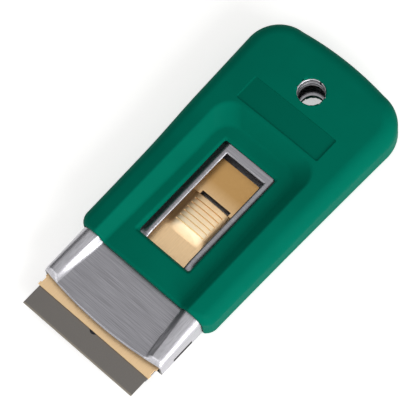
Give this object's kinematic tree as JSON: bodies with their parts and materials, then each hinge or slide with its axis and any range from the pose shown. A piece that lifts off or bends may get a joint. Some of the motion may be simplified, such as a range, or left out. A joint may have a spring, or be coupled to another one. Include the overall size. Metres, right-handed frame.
{
  "type": "safety scraper",
  "caption": "Flat pocket scraper with a razor blade in a sliding holder, a stamped steel housing, a ribbed thumb rest and a moulded plastic grip sleeve with a hanging hole",
  "frame": {"origin": "under the middle of the object, on the surface that it lies on: the underside of the sleeve", "axes": "+Y runs along the tool from the blade's edge to the hanging hole, +Z is out of the face with the thumb rest, +X is across the tool"},
  "size_m": [0.0486, 0.104, 0.013],
  "materials": {
    "sleeve_plastic": "moulded satin plastic, deep green",
    "housing_steel": "bright nickel plating on stamped steel, brushed on the flat panel",
    "brass_plate": "brass-coloured plating on stamped sheet, with fine grain",
    "blade_steel": "ground carbon steel with a light oil film",
    "spring_steel": "plain rolled spring steel"
  },
  "bodies": {
    "housing": {"grip_sleeve": "sleeve_plastic", "upper_shell": "housing_steel", "back_plate": "housing_steel", "hole_collar": "housing_steel"},
    "slider": {"blade_holder": "brass_plate", "razor_blade": "blade_steel", "leaf_spring": "spring_steel", "clamp_rivet_left": "brass_plate", "clamp_rivet_right": "brass_plate", "plate_rivet_left": "brass_plate", "plate_rivet_right": "brass_plate", "spring_rivet": "spring_steel"},
    "thumb": {"thumb_plate": "brass_plate"},
    "clamp": {"blade_clamp": "spring_steel"}
  },
  "joints": [
    {"name": "blade_slide", "type": "slide", "parent": "housing", "child": "slider", "axis": [0, 1, 0], "range_m": [-0.0055, 0.0105]},
    {"name": "thumb_press", "type": "hinge", "parent": "slider", "child": "thumb", "pos_m": [0, -0.02355, 0.00555], "axis": [-1, 0, 0], "range_deg": [0, 3], "stiffness_Nm_per_rad": 0.8, "deforming": ["leaf_spring"]},
    {"name": "clamp_open", "type": "hinge", "parent": "slider", "child": "clamp", "pos_m": [0, -0.03265, 0.00465], "axis": [1, 0, 0], "range_deg": [0, 4], "stiffness_Nm_per_rad": 0.5}
  ]
}
